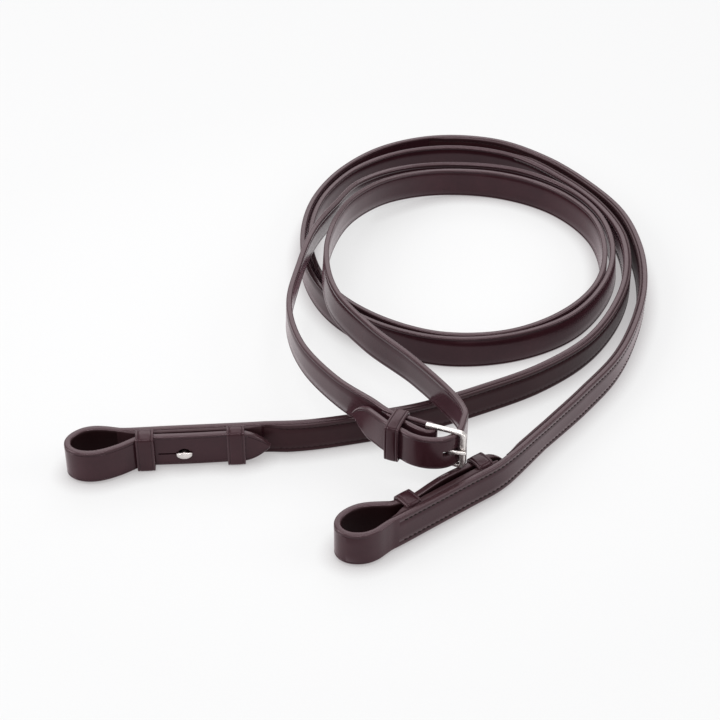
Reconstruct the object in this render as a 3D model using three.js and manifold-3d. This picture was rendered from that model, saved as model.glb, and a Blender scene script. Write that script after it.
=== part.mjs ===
// A pair of English leather reins with hook-stud bit ends and a centre buckle, laid in a loose coil.
// Every strap stands on its edge. Units are millimetres, +Z is up, z = 0 is the resting surface, and the
// origin is under the middle of the whole coil.
import * as THREE from "three";
import { mergeVertices } from "three/addons/utils/BufferGeometryUtils.js";
import Module from "manifold-3d";

const wasm = await Module();
wasm.setup();

// Driving dimensions
const STRAP_WIDTH = 20.4;
const STRAP_THICK = 3.4;
const LINING_THICK = 1.3;
const LINING_WIDTH = 19.6;
const GRIP_START = 110; // from the tip of the bit loop
const GRIP_LENGTH = 456; // the lined half of each rein, measured from the stitched bit end
const GAP = 0.3; // clearance between pieces that touch
const STRAP_STEP = 8; // length of one facet along a rein
const BEND_STEP = 1.6; // length of one facet along a tight bend

// Bit end: u runs along the rein from the tip of the bit loop, v across its layers towards the tail
const END_RISE = 1.5; // the keepers rest on the surface and hold the strap this far off it
const THROAT = 30; // where the bit loop opens
const BILLET_THICK = 3.8;
const TAIL_TIP = 112.5;
const TIP_LENGTH = 17;
const KEEPER_LENGTH = 10;
const KEEPER_WALL = 1.2;
const KEEPER_SLACK = 0.3;
const FRONT_KEEPER = 43;
const REAR_KEEPER = 93.5;
const STUD_PLACE = 64.5;
const STUD_LIFT = -1.9; // the stud sits just below the middle of the strap
const STUD_SHANK = 1.6;
const STUD_HEAD = { half: 4.5, top: 0.9, bottom: -3, thick: 1.6 };
const STUD_HOLE = { half: 3.7, rise: 3.3 };
const SLIT_LENGTH = 12;
const PLATE_RADIUS = 5.5;
const PLATE_THICK = 1;

// Centre buckle: a runs from the heel bar to the front bar, b across the frame towards its front face
const HEEL = { x: 27.4, y: -150.5 };
const BUCKLE_ANGLE = -21.5;
const BUCKLE_RISE = 25.5; // the buckle end lies on top of the other strands
const BUCKLE_MID = BUCKLE_RISE + STRAP_WIDTH / 2;
const FRONT_BAR = 19.8;
const BAR_THICK = 3;
const SIDE_BAR = 2.4;
const FRAME_INNER = STRAP_WIDTH / 2 + 0.4;
const CHAPE_THICK = 3;
const CHAPE_REACH = -27.7; // where the folded end takes over from the strap
const TONGUE_THICK = 2;
const TONGUE_WIDTH = 2.4;
const SLOT_WIDTH = TONGUE_WIDTH + 2; // room for the tongue in the chape's fold
const BUCKLE_KEEPER_LENGTH = 8;

const LEATHER = { color: 0x3c2a2a, roughness: 0.5, metalness: 0 };
const EDGE_LEATHER = { color: 0x4a3535, roughness: 0.6, metalness: 0 };
const STEEL = { color: 0xd8d8da, roughness: 0.22, metalness: 1 };

const reins = new THREE.Group();

function addMesh(parent, name, geometry, finish) {
  const mesh = new THREE.Mesh(geometry, new THREE.MeshStandardMaterial(finish));
  mesh.name = name;
  parent.add(mesh);
  return mesh;
}

// --- Solids ------------------------------------------------------------------------------------------

function solid(geometry) {
  const bare = new THREE.BufferGeometry();
  const source = geometry.index ? geometry.toNonIndexed() : geometry;
  bare.setAttribute("position", source.getAttribute("position"));
  const merged = mergeVertices(bare, 1e-3);
  return new wasm.Manifold(
    new wasm.Mesh({
      numProp: 3,
      vertProperties: merged.attributes.position.array,
      triVerts: new Uint32Array(merged.index.array),
    }),
  );
}

function geometryOf(manifold) {
  const mesh = manifold.getMesh();
  const geometry = new THREE.BufferGeometry();
  geometry.setAttribute("position", new THREE.BufferAttribute(new Float32Array(mesh.vertProperties), 3));
  geometry.setIndex(new THREE.BufferAttribute(new Uint32Array(mesh.triVerts), 1));
  return geometry;
}

function cut(geometry, ...tools) {
  return geometryOf(tools.reduce((body, tool) => body.subtract(solid(tool)), solid(geometry)));
}

function join(geometry, ...others) {
  return geometryOf(others.reduce((body, other) => body.add(solid(other)), solid(geometry)));
}

function box(x, y, z, width, depth, height) {
  return new THREE.BoxGeometry(width, depth, height).translate(x, y, z);
}

function roundedOutline(low, high, radius, Outline) {
  const outline = new Outline();
  outline.moveTo(low.x + radius, low.y);
  outline.lineTo(high.x - radius, low.y);
  outline.absarc(high.x - radius, low.y + radius, radius, -Math.PI / 2, 0);
  outline.lineTo(high.x, high.y - radius);
  outline.absarc(high.x - radius, high.y - radius, radius, 0, Math.PI / 2);
  outline.lineTo(low.x + radius, high.y);
  outline.absarc(low.x + radius, high.y - radius, radius, Math.PI / 2, Math.PI);
  outline.lineTo(low.x, low.y + radius);
  outline.absarc(low.x + radius, low.y + radius, radius, Math.PI, 1.5 * Math.PI);
  return outline;
}

// A flat leather loop: a rounded ring in the (across, z) plane, pushed along x from its centre.
function keeperRing(length, low, high, wall) {
  const outline = roundedOutline(low, high, 1.4, THREE.Shape);
  const inside = roundedOutline(
    new THREE.Vector2(low.x + wall.back, low.y + wall.sides),
    new THREE.Vector2(high.x - wall.front, high.y - wall.sides),
    0.4,
    THREE.Path,
  );
  outline.holes.push(inside);
  const ring = new THREE.ExtrudeGeometry(outline, { depth: length, bevelEnabled: false, curveSegments: 3 });
  ring.translate(0, 0, -length / 2);
  const axes = new THREE.Matrix4().makeBasis(
    new THREE.Vector3(0, 1, 0),
    new THREE.Vector3(0, 0, 1),
    new THREE.Vector3(1, 0, 0),
  );
  return ring.applyMatrix4(axes);
}

// --- Strap routes ------------------------------------------------------------------------------------

// The middle line of a strap standing on edge. Each row is [x, y, rise, lean]: rise is the height of the
// lower edge, and lean in degrees tips the upper edge to the right of the direction of travel.
class StrapPath extends THREE.CatmullRomCurve3 {
  constructor(rows, thick) {
    const middle = (rise, lean) =>
      rise + (STRAP_WIDTH * Math.cos(lean)) / 2 + (thick * Math.abs(Math.sin(lean))) / 2;
    const height = (rise, lean) => middle(rise, THREE.MathUtils.degToRad(lean));
    super(rows.map(([x, y, rise, lean]) => new THREE.Vector3(x, y, height(rise, lean))));
    this.leans = rows.map((row) => THREE.MathUtils.degToRad(row[3]));
    this.arcLengthDivisions = 3000;
    this.total = this.getLength();
  }

  leanAt(fraction) {
    const place = this.getUtoTmapping(fraction) * (this.leans.length - 1);
    const index = Math.min(Math.floor(place), this.leans.length - 2);
    return THREE.MathUtils.lerp(this.leans[index], this.leans[index + 1], place - index);
  }

  frameAt(fraction) {
    const lean = this.leanAt(fraction);
    const tangent = this.getTangentAt(fraction);
    const right = new THREE.Vector3().crossVectors(tangent, new THREE.Vector3(0, 0, 1)).normalize();
    const up = new THREE.Vector3().crossVectors(right, tangent);
    const across = right.multiplyScalar(Math.cos(lean)).addScaledVector(up, -Math.sin(lean));
    return { tangent, across, binormal: new THREE.Vector3().crossVectors(tangent, across) };
  }
}

// The stretch of a strap's route between two distances from its start.
class Stretch extends THREE.Curve {
  constructor(path, from, to) {
    super();
    this.path = path;
    this.from = from / path.total;
    this.to = to / path.total;
  }

  getPoint(t, target = new THREE.Vector3()) {
    return this.path.getPointAt(THREE.MathUtils.lerp(this.from, this.to, t), target);
  }

  computeFrenetFrames(segments) {
    const frames = Array.from({ length: segments + 1 }, (_, i) =>
      this.path.frameAt(THREE.MathUtils.lerp(this.from, this.to, i / segments)),
    );
    return {
      tangents: frames.map((frame) => frame.tangent),
      normals: frames.map((frame) => frame.across),
      binormals: frames.map((frame) => frame.binormal),
    };
  }
}

// A strap layer: its section reaches from near to far across the thickness, right of travel positive.
function layer(path, { from = 0, to = path.total, near, far, width = STRAP_WIDTH, step = STRAP_STEP }) {
  const section = new THREE.Shape();
  section.moveTo(near, -width / 2);
  section.lineTo(far, -width / 2);
  section.lineTo(far, width / 2);
  section.lineTo(near, width / 2);
  section.closePath();
  return new THREE.ExtrudeGeometry(section, {
    steps: Math.max(2, Math.round((to - from) / step)),
    extrudePath: new Stretch(path, from, to),
    bevelEnabled: false,
  });
}

// Two cutters that leave a pointed end. tip is the place of the point, heading the way it points.
function pointCutters(tip, heading, length, width) {
  const up = new THREE.Vector3(0, 0, 1);
  const across = new THREE.Vector3().crossVectors(heading, up);
  const place = new THREE.Matrix4().makeBasis(heading, up, across).setPosition(tip);
  return [1, -1].map((side) => {
    const corner = new THREE.Shape();
    const half = (side * width) / 2;
    corner.moveTo(0, 0);
    corner.quadraticCurveTo(-0.3 * length, 0.95 * half, -length, half);
    corner.lineTo(-length, 1.4 * half);
    corner.lineTo(3, 1.4 * half);
    corner.lineTo(3, 0);
    corner.closePath();
    const tool = new THREE.ExtrudeGeometry(corner, { depth: 16, bevelEnabled: false, curveSegments: 8 });
    return tool.translate(0, 0, -8).applyMatrix4(place);
  });
}

// --- Bit ends ----------------------------------------------------------------------------------------

// heading is in degrees. sway bends the bit loop sideways. The tail bows off the stay by bow, starts lift
// further out and drifts a further spread, and turn is where the rein starts to bend away.
const bitEnds = {
  left: {
    x: -172.6,
    y: -125.3,
    heading: 4.1,
    tailSide: -1,
    sway: -0.9,
    bow: 0.3,
    lift: 0,
    spread: 0,
    stay: 2.2,
    stayEnd: 107,
    turn: -0.2,
  },
  right: {
    x: -13.3,
    y: -214.5,
    heading: 38,
    tailSide: 1,
    sway: 0.9,
    bow: 1.6,
    lift: 1,
    spread: 1.2,
    stay: 3.2,
    stayEnd: 101,
    turn: 1.4,
  },
};

function endPlace(end, u, v) {
  const heading = THREE.MathUtils.degToRad(end.heading);
  const across = v * end.tailSide;
  return [
    end.x + u * Math.cos(heading) - across * Math.sin(heading),
    end.y + u * Math.sin(heading) + across * Math.cos(heading),
  ];
}

// How far the tail's middle line lies from the rein's, at a place u along the bit end.
function tailPlace({ bow, lift, spread }, u) {
  const swell = bow * Math.sin(Math.PI * THREE.MathUtils.clamp((u - 44) / 50, 0, 1)) ** 2;
  const drift = spread * THREE.MathUtils.smoothstep(u, 44, 90);
  return 7 + lift + swell + drift + 0.8 * THREE.MathUtils.smoothstep(u, 96, TAIL_TIP);
}

// The billet from the throat round the bit loop and back along the stay to its point, as (u, v) spots.
function billetSpots(end) {
  const loop = [
    [21.5, -1],
    [15, -1.7],
    [9.4, -0.7],
    [4.9, 2],
    [1.8, 5.6],
    [0.6, 9.8],
    [1.5, 13.9],
    [4.6, 17.3],
    [9.4, 19.4],
    [15, 19.8],
    [20.5, 18.7],
    [25.5, 16.5],
    [30, 13.9],
    [34.5, 11],
  ];
  const swayed = loop.map(([u, v]) => [u, v + end.sway * THREE.MathUtils.smoothstep(34 - u, 0, 14)]);
  const tail = [46, 52, 61, 70, 79, 87, 94, 103, TAIL_TIP].map((u) => [u, tailPlace(end, u)]);
  const neck = [
    [38, 8.9 + end.lift],
    [41.5, 7.6 + end.lift],
  ];
  return [[THROAT - 2 * GAP, 0], [26, -0.3], ...swayed, ...neck, ...tail];
}

function addBitEnd(side) {
  const end = bitEnds[side];
  const middle = END_RISE + STRAP_WIDTH / 2;
  const tailFace = (u) => tailPlace(end, u) + BILLET_THICK / 2;
  const group = new THREE.Group();
  group.position.set(end.x, end.y, middle);
  group.rotation.z = THREE.MathUtils.degToRad(end.heading);
  reins.add(group);
  const v = (value) => value * end.tailSide;

  const rows = billetSpots(end).map(([u, across]) => [...endPlace(end, u, across), END_RISE, 0]);
  const path = new StrapPath(rows, BILLET_THICK);
  const strip = layer(path, { near: -BILLET_THICK / 2, far: BILLET_THICK / 2, step: BEND_STEP * 1.5 });
  const tip = new THREE.Vector3(rows.at(-1)[0], rows.at(-1)[1], middle);
  const hole = new THREE.CylinderGeometry(1, 1, 9, 24).scale(STUD_HOLE.half, 1, STUD_HOLE.rise);
  hole.translate(STUD_PLACE, v(tailFace(STUD_PLACE)), STUD_LIFT);
  const slitMiddle = STUD_PLACE - 2.5 - SLIT_LENGTH / 2;
  const slit = box(slitMiddle, v(tailFace(slitMiddle)), STUD_LIFT, SLIT_LENGTH, 9, 1);
  const toRein = new THREE.Matrix4().makeRotationZ(group.rotation.z).setPosition(group.position);
  const billet = cut(
    strip,
    hole.applyMatrix4(toRein),
    slit.applyMatrix4(toRein),
    ...pointCutters(tip, path.getTangentAt(1), TIP_LENGTH, STRAP_WIDTH),
  );
  addMesh(reins, "bit_billet_" + side, billet, LEATHER);

  // The stay fills the stitched end between the strap and the tail.
  const inner = STRAP_THICK / 2 + GAP;
  const outer = inner + end.stay;
  const outline = new THREE.Shape();
  outline.moveTo(THROAT + 1, v(inner));
  outline.lineTo(end.stayEnd, v(inner));
  outline.lineTo(end.stayEnd, v(inner + 0.8));
  outline.lineTo(end.stayEnd - 10, v(outer));
  outline.lineTo(THROAT + 9, v(outer));
  outline.lineTo(THROAT + 1, v(inner + 0.7));
  outline.closePath();
  const stayBody = new THREE.ExtrudeGeometry(outline, { depth: STRAP_WIDTH, bevelEnabled: false });
  stayBody.translate(0, 0, -STRAP_WIDTH / 2);
  const legDepth = 1 + GAP;
  const notch = (u) =>
    box(u, v(inner - 1 + (legDepth + 1) / 2), 0, KEEPER_LENGTH + 2 * GAP, legDepth + 1, STRAP_WIDTH + 2);
  const pocket = new THREE.CylinderGeometry(PLATE_RADIUS + GAP, PLATE_RADIUS + GAP, 2, 24);
  pocket.translate(STUD_PLACE, v(inner + PLATE_THICK + GAP - 1), STUD_LIFT);
  const shankHole = new THREE.CylinderGeometry(STUD_SHANK + GAP, STUD_SHANK + GAP, 12, 20);
  shankHole.translate(STUD_PLACE, v(outer), STUD_LIFT);
  const stay = cut(stayBody, notch(FRONT_KEEPER), notch(REAR_KEEPER), pocket, shankHole);
  addMesh(group, "stay_" + side, stay, EDGE_LEATHER);

  // Both keepers pass behind the stay and over the tail.
  const keepers = { front_keeper: [FRONT_KEEPER, 2.3], rear_keeper: [REAR_KEEPER, 0.4] };
  for (const [name, [place, room]] of Object.entries(keepers)) {
    const half = STRAP_WIDTH / 2 + KEEPER_SLACK + KEEPER_WALL;
    const reach = tailFace(place) + room + KEEPER_SLACK + KEEPER_WALL;
    const low = new THREE.Vector2(Math.min(v(inner), v(reach)), -half);
    const high = new THREE.Vector2(Math.max(v(inner), v(reach)), half);
    const back = 1;
    const wall = end.tailSide > 0 ? { back, front: KEEPER_WALL } : { back: KEEPER_WALL, front: back };
    const ring = keeperRing(KEEPER_LENGTH, low, high, { ...wall, sides: KEEPER_WALL });
    addMesh(group, name + "_" + side, ring.translate(place, 0, 0), LEATHER);
  }

  // The hook stud: a shank with a half-moon head, riveted through its base plate.
  const plate = new THREE.CylinderGeometry(PLATE_RADIUS, PLATE_RADIUS, PLATE_THICK, 28);
  const plateHole = new THREE.CylinderGeometry(STUD_SHANK + GAP, STUD_SHANK + GAP, 4, 20);
  const basePlate = cut(plate, plateHole).translate(STUD_PLACE, v(inner + PLATE_THICK / 2), STUD_LIFT);
  addMesh(group, "stud_base_plate_" + side, basePlate, STEEL);
  const headBack = tailFace(STUD_PLACE) + 0.4;
  const shankLength = headBack + STUD_HEAD.thick / 2 - inner;
  const shank = new THREE.CylinderGeometry(STUD_SHANK, STUD_SHANK, shankLength, 20);
  shank.translate(0, v(inner + shankLength / 2), 0);
  const moon = new THREE.Shape();
  moon.moveTo(STUD_HEAD.half, STUD_HEAD.top);
  moon.absellipse(0, 0, STUD_HEAD.half, -STUD_HEAD.bottom, 0, Math.PI, true);
  moon.lineTo(-STUD_HEAD.half, STUD_HEAD.top);
  moon.closePath();
  const headForm = { depth: STUD_HEAD.thick, bevelEnabled: false, curveSegments: 18 };
  const head = new THREE.ExtrudeGeometry(moon, headForm);
  head.rotateX(Math.PI / 2).translate(0, end.tailSide > 0 ? headBack + STUD_HEAD.thick : -headBack, 0);
  addMesh(group, "hook_stud_" + side, join(shank, head).translate(STUD_PLACE, 0, STUD_LIFT), STEEL);
}

// --- Routes of the two reins --------------------------------------------------------------------------

function buckleSpot(a, b) {
  const angle = THREE.MathUtils.degToRad(BUCKLE_ANGLE);
  return [
    HEEL.x + a * Math.cos(angle) + b * Math.sin(angle),
    HEEL.y + a * Math.sin(angle) - b * Math.cos(angle),
  ];
}

// The stitched end of a rein runs straight, held off the surface by its keepers.
function straightRows(end) {
  const spots = [
    [THROAT, 0],
    [56, 0],
    [82, 0],
    [99, 0],
    [110, end.turn],
  ];
  return spots.map(([u, v]) => [...endPlace(end, u, v), END_RISE, 0]);
}

// The right rein lies outermost: once round the coil, round again inside, then out to the buckle.
const rightRoute = [
  ...straightRows(bitEnds.right),
  [95.5, -115.5, 0.4, 6],
  [120.5, -83.5, 0, 2],
  [143, -50.9, 0, 3],
  [159, -12.9, 0, 3],
  [169, 27.1, 0, 1],
  [171, 68.1, 0, 0],
  [164, 109.1, 0, 0],
  [145, 146.1, 0, 0],
  [119.5, 178.6, 0, -1],
  [87, 201.6, 0, -1],
  [46, 207.1, 0, -3],
  [8, 193.1, 0, -1],
  [-21, 164.1, 0, -1],
  [-39.5, 126.6, 0, 0],
  [-46.5, 86.1, 0, 0],
  [-43, 45.1, 0, 1],
  [-26, 7.1, 0, 1],
  [4, -20.9, 0, -1],
  [42, -34.9, 0, -4],
  [83, -30.9, 0, -3],
  [119, -10.9, 0, -2],
  [143, 23.1, 0, -3],
  [154, 62.1, 0, -6],
  [150.5, 103.6, 0, -8],
  [132, 139.1, 0, -13],
  [99, 164.1, 0, -15],
  [58, 171.1, 0.5, -15],
  [19, 159.7, 4.3, -16],
  [-11, 131.2, 10.2, -15],
  [-27, 92.6, 16.6, -13],
  [-40, 53.2, 21.4, -8],
  [-48, 13.2, 21.4, -6],
  [-52, -28.8, 21.4, -2],
  [-43, -67.8, 21.4, 2],
  [-22, -103.3, 22.5, 2],
  [...buckleSpot(-36, -10.9), BUCKLE_RISE - 0.2, 0],
  [...buckleSpot(CHAPE_REACH - 3 * GAP, -6.95), BUCKLE_RISE, 0],
];

// The left rein lies inside the right one and ends as the buckle's billet.
const leftRoute = [
  ...straightRows(bitEnds.left),
  [-40, -115, 1.1, 3],
  [-8, -107.3, 0.4, 4],
  [24, -97.9, 0, 5],
  [61, -80.9, 0, 4],
  [96, -60.9, 0, 4],
  [126, -33.9, 0, 5],
  [147, 1.1, 0, 1],
  [159, 39.1, 0, -1],
  [161, 80.1, 0, -3],
  [150, 118.6, 0, -8],
  [129, 153.1, 0, -14],
  [100, 182.1, 0, -15],
  [62, 194.1, 0, -13],
  [22, 188.1, 0, -10],
  [-11, 166.1, 0, -7],
  [-32.5, 131.6, 0, -4],
  [-41.5, 93.1, 0, -3],
  [-39.5, 52.1, 0, -2],
  [-25, 15.1, 0, -1],
  [4, -13.9, 0, -1],
  [40, -29.9, 0, -1],
  [80, -27.9, 0, -3],
  [115, -7.9, 0, -5],
  [139, 24.1, 0, -3],
  [148, 64.1, 0, 0],
  [143, 103.1, 0, 3],
  [120, 137.1, 0, 1],
  [85, 156.1, 0.3, 0],
  [45, 156.9, 2.1, -3],
  [11, 137.4, 8, -6],
  [-13, 104.8, 14.4, -5],
  [-26, 66.3, 19.8, -4],
  [-31, 26.2, 21.4, -4],
  [-25, -13.8, 21.4, -5],
  [-5, -49.8, 21.4, -3],
  [20, -80.8, 21.4, 3],
  [41, -114.3, 22.5, 3],
  [46, -127.5, 24.3, 2],
  [...buckleSpot(14.2, -19.5), BUCKLE_RISE - 0.1, 0],
  [...buckleSpot(15, -14.9), BUCKLE_RISE, 0],
];

// The lining is sewn to the flesh side: left of travel on the right rein, right of travel on the left.
function addRein(side, rows, fleshSide) {
  const path = new StrapPath(rows, STRAP_THICK);
  const half = STRAP_THICK / 2;
  addMesh(reins, "rein_strap_" + side, layer(path, { near: -half, far: half }), LEATHER);
  const back = fleshSide * (half + GAP);
  const face = fleshSide * (half + GAP + LINING_THICK);
  const facet = path.total / Math.round(path.total / STRAP_STEP);
  const from = Math.ceil((GRIP_START - THROAT) / facet) * facet;
  const lining = layer(path, {
    from,
    to: from + Math.round(GRIP_LENGTH / facet) * facet,
    step: facet,
    near: Math.min(back, face),
    far: Math.max(back, face),
    width: LINING_WIDTH,
  });
  addMesh(reins, "grip_lining_" + side, lining, EDGE_LEATHER);
  return path;
}

// --- Centre buckle -----------------------------------------------------------------------------------

function buckleRows(spots) {
  return spots.map(([a, b, drop = 0]) => [...buckleSpot(a, b), BUCKLE_RISE - drop, 0]);
}

function addCentreBuckle() {
  const group = new THREE.Group();
  group.position.set(HEEL.x, HEEL.y, BUCKLE_MID);
  group.rotation.z = THREE.MathUtils.degToRad(BUCKLE_ANGLE);
  reins.add(group);
  const toRein = new THREE.Matrix4().makeRotationZ(group.rotation.z).setPosition(group.position);

  // Frame: two side bars and a front bar in one bent outline, closed by the round heel bar.
  const halfHeight = FRAME_INNER + SIDE_BAR;
  const outline = new THREE.Shape();
  outline.moveTo(0, -halfHeight);
  outline.lineTo(FRONT_BAR - 0.5, -halfHeight);
  outline.absarc(FRONT_BAR - 0.5, -halfHeight + 2, 2, -Math.PI / 2, 0);
  outline.absarc(FRONT_BAR - 0.5, halfHeight - 2, 2, 0, Math.PI / 2);
  outline.lineTo(0, halfHeight);
  outline.lineTo(0, FRAME_INNER);
  outline.lineTo(FRONT_BAR - BAR_THICK / 2, FRAME_INNER);
  outline.lineTo(FRONT_BAR - BAR_THICK / 2, -FRAME_INNER);
  outline.lineTo(0, -FRAME_INNER);
  outline.closePath();
  const barForm = { depth: BAR_THICK, bevelEnabled: false, curveSegments: 5 };
  const bars = new THREE.ExtrudeGeometry(outline, barForm);
  bars.rotateX(Math.PI / 2).translate(0, BAR_THICK / 2, 0);
  const heelBar = new THREE.CylinderGeometry(BAR_THICK / 2, BAR_THICK / 2, 2 * halfHeight, 20);
  heelBar.rotateX(Math.PI / 2);
  addMesh(group, "buckle_frame", join(bars, heelBar), STEEL);

  // Tongue: an eye round the heel bar and a bent prong that rests on the front bar.
  const eyeOuter = BAR_THICK / 2 + GAP + 1.4;
  const eye = new THREE.Shape();
  eye.absarc(0, 0, eyeOuter, 0, 2 * Math.PI);
  const eyeHole = new THREE.Path();
  eyeHole.absarc(0, 0, BAR_THICK / 2 + GAP, 0, 2 * Math.PI);
  eye.holes.push(eyeHole);
  const eyeForm = { depth: TONGUE_WIDTH, bevelEnabled: false, curveSegments: 12 };
  const eyeRing = new THREE.ExtrudeGeometry(eye, eyeForm);
  const rest = -(BAR_THICK / 2 + GAP + TONGUE_THICK / 2);
  const spine = new THREE.SplineCurve([
    new THREE.Vector2(2.6, -0.6),
    new THREE.Vector2(8, -2.5),
    new THREE.Vector2(13, -3.3),
    new THREE.Vector2(FRONT_BAR - 2, rest - 0.6),
    new THREE.Vector2(FRONT_BAR + 2.6, rest),
  ]);
  const centres = spine.getSpacedPoints(16);
  const edge = (side) =>
    centres.map((centre, i) => {
      const tangent = spine.getTangentAt(i / 16);
      const half = (side * TONGUE_THICK) / 2;
      return new THREE.Vector2(centre.x - tangent.y * half, centre.y + tangent.x * half);
    });
  const prongOutline = new THREE.Shape([...edge(-1), ...edge(1).reverse()]);
  const prong = new THREE.ExtrudeGeometry(prongOutline, { depth: TONGUE_WIDTH, bevelEnabled: false });
  const tongue = join(eyeRing, prong).translate(0, 0, -TONGUE_WIDTH / 2);
  addMesh(group, "buckle_tongue", tongue, STEEL);

  // Chape: the end of the right rein folded round the heel bar, with a slot for the tongue.
  const wrap = BAR_THICK / 2 + 0.4 + CHAPE_THICK / 2;
  const turn = [-60, -30, 0, 30, 60].map((degrees) => {
    const angle = THREE.MathUtils.degToRad(degrees);
    return [wrap * Math.cos(angle), wrap * Math.sin(angle)];
  });
  const chapeSpots = [
    [CHAPE_REACH, -6.6],
    [-25, -5.6],
    [-20, -4.5],
    [-9, -3.8],
    [-3, -wrap],
    [0, -wrap],
    ...turn,
    [0, wrap],
    [-3, wrap - 0.2],
    [-9, 1.6],
    [-16, -0.6],
    [-21, -1.2],
    [-25, -2.2],
  ];
  const chapePath = new StrapPath(buckleRows(chapeSpots), CHAPE_THICK);
  const chapeStrip = layer(chapePath, { near: -CHAPE_THICK / 2, far: CHAPE_THICK / 2, step: BEND_STEP });
  const slot = box(1, 0, 0, 11.4, 14, SLOT_WIDTH).applyMatrix4(toRein);
  addMesh(reins, "buckle_chape", cut(chapeStrip, slot), LEATHER);

  // Billet: the end of the left rein, through the frame, over the tongue and back through the keeper.
  const billetPath = new StrapPath(
    buckleRows([
      [15.1, -14],
      [15.7, -10.5],
      [16.1, -7],
      [16.1, -3],
      [14.3, 2],
      [10.6, 6.1],
      [4.8, 8.8],
      [-1.2, 9.8],
      [-7.2, 9.2],
      [-12.3, 7.4],
      [-17.7, 6],
      [-22, 4.4],
      [-26, 2.1, 0.3],
      [-30, -0.6, 0.8],
      [-35, -4, 1.6],
      [-41, -8, 2.7],
      [-48.5, -12.8, 4],
    ]),
    STRAP_THICK,
  );
  const strip = layer(billetPath, { near: -STRAP_THICK / 2, far: STRAP_THICK / 2, step: BEND_STEP });
  const punch = box(0, 0, 0, 8, 12, 4).rotateZ(THREE.MathUtils.degToRad(-55));
  punch.translate(13, -3.4, 0).applyMatrix4(toRein);
  const tipHeading = billetPath.getTangentAt(1);
  const tip = billetPath.getPointAt(1);
  const billet = cut(strip, punch, ...pointCutters(tip, tipHeading, TIP_LENGTH, STRAP_WIDTH));
  addMesh(reins, "centre_billet", billet, LEATHER);

  // The keeper goes round both layers of the chape and the billet.
  const half = STRAP_WIDTH / 2 + KEEPER_SLACK + KEEPER_WALL;
  const wall = { back: KEEPER_WALL, front: KEEPER_WALL, sides: KEEPER_WALL };
  const low = new THREE.Vector2(-10.9, -half);
  const high = new THREE.Vector2(8, half);
  const ring = keeperRing(BUCKLE_KEEPER_LENGTH, low, high, wall);
  addMesh(group, "buckle_keeper", ring.translate(-17.7, 0, 0), LEATHER);
}

addBitEnd("left");
addBitEnd("right");
addRein("right", rightRoute, -1);
addRein("left", leftRoute, 1);
addCentreBuckle();

export default reins;
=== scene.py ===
import math
import random

import bmesh
import bpy
import numpy as np
from mathutils import Matrix, Vector


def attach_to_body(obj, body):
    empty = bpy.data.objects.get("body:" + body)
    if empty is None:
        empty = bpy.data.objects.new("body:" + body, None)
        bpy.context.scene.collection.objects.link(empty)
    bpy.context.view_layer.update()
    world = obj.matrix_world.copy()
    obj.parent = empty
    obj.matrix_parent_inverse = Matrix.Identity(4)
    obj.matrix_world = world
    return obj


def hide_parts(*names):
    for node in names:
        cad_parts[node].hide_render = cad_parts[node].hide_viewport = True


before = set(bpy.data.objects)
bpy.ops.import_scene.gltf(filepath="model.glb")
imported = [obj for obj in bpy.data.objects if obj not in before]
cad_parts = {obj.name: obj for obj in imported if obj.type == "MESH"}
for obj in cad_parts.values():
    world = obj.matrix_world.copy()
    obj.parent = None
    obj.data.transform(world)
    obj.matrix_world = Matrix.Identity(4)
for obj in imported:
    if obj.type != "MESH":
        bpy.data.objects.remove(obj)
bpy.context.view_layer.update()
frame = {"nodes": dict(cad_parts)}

# All lengths below are written in millimetres and turned into metres by MM where meshes are made.
MM = 0.001

# ----------------------------------------
# Camera
# ----------------------------------------

camera_data = bpy.data.cameras.new("camera")
camera_data.lens = 87.5
camera_data.sensor_width = 36.0
camera_data.clip_start = 0.05
camera_data.clip_end = 50.0
camera = bpy.data.objects.new("camera", camera_data)
camera.location = (-0.0095, -0.8795, 0.640)
camera.rotation_euler = (math.radians(53.0), 0.0, 0.0)
bpy.context.scene.collection.objects.link(camera)
bpy.context.scene.camera = camera

# ----------------------------------------
# The straps' own dimensions and routes, in the part's frame
# ----------------------------------------

STRAP_WIDTH = 20.4
STRAP_THICK = 3.4
BILLET_THICK = 3.8
CHAPE_THICK = 3.0
LINING_THICK = 1.6
GRIP_LENGTH = 456.0
END_RISE = 1.5
THROAT = 30.0
GRIP_START = 109.5
TAIL_TIP = 112.5
FRONT_KEEPER = 43.0
REAR_KEEPER = 93.5
STUD_PLACE = 64.5
STUD_LIFT = -1.9
BUCKLE_RISE = 25.5
BUCKLE_MID = BUCKLE_RISE + STRAP_WIDTH / 2
HEEL = (27.4, -150.5)
BUCKLE_ANGLE = math.radians(-21.5)

BIT_ENDS = {
    "left": {
        "x": -172.6, "y": -125.3, "heading": math.radians(4.1), "side": -1, "sway": -0.9, "bow": 0.3,
        "lift": 0.0, "spread": 0.0, "stay": 2.2, "stay_end": 107.0, "turn": -0.2,
    },
    "right": {
        "x": -13.3, "y": -214.5, "heading": math.radians(38), "side": 1, "sway": 0.9, "bow": 1.6,
        "lift": 1.0, "spread": 1.2, "stay": 3.2, "stay_end": 101.0, "turn": 1.4,
    },
}


def end_place(end, u, v):
    """The place of a spot u along a bit end and v across it, towards its tail."""
    across = v * end["side"]
    cos, sin = math.cos(end["heading"]), math.sin(end["heading"])
    return end["x"] + u * cos - across * sin, end["y"] + u * sin + across * cos


def buckle_place(a, b):
    """The place of a spot a along the centre buckle and b towards its front."""
    cos, sin = math.cos(BUCKLE_ANGLE), math.sin(BUCKLE_ANGLE)
    return HEEL[0] + a * cos + b * sin, HEEL[1] + a * sin - b * cos


def smooth_step(value, low, high):
    t = min(max((value - low) / (high - low), 0.0), 1.0)
    return t * t * (3 - 2 * t)


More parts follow.
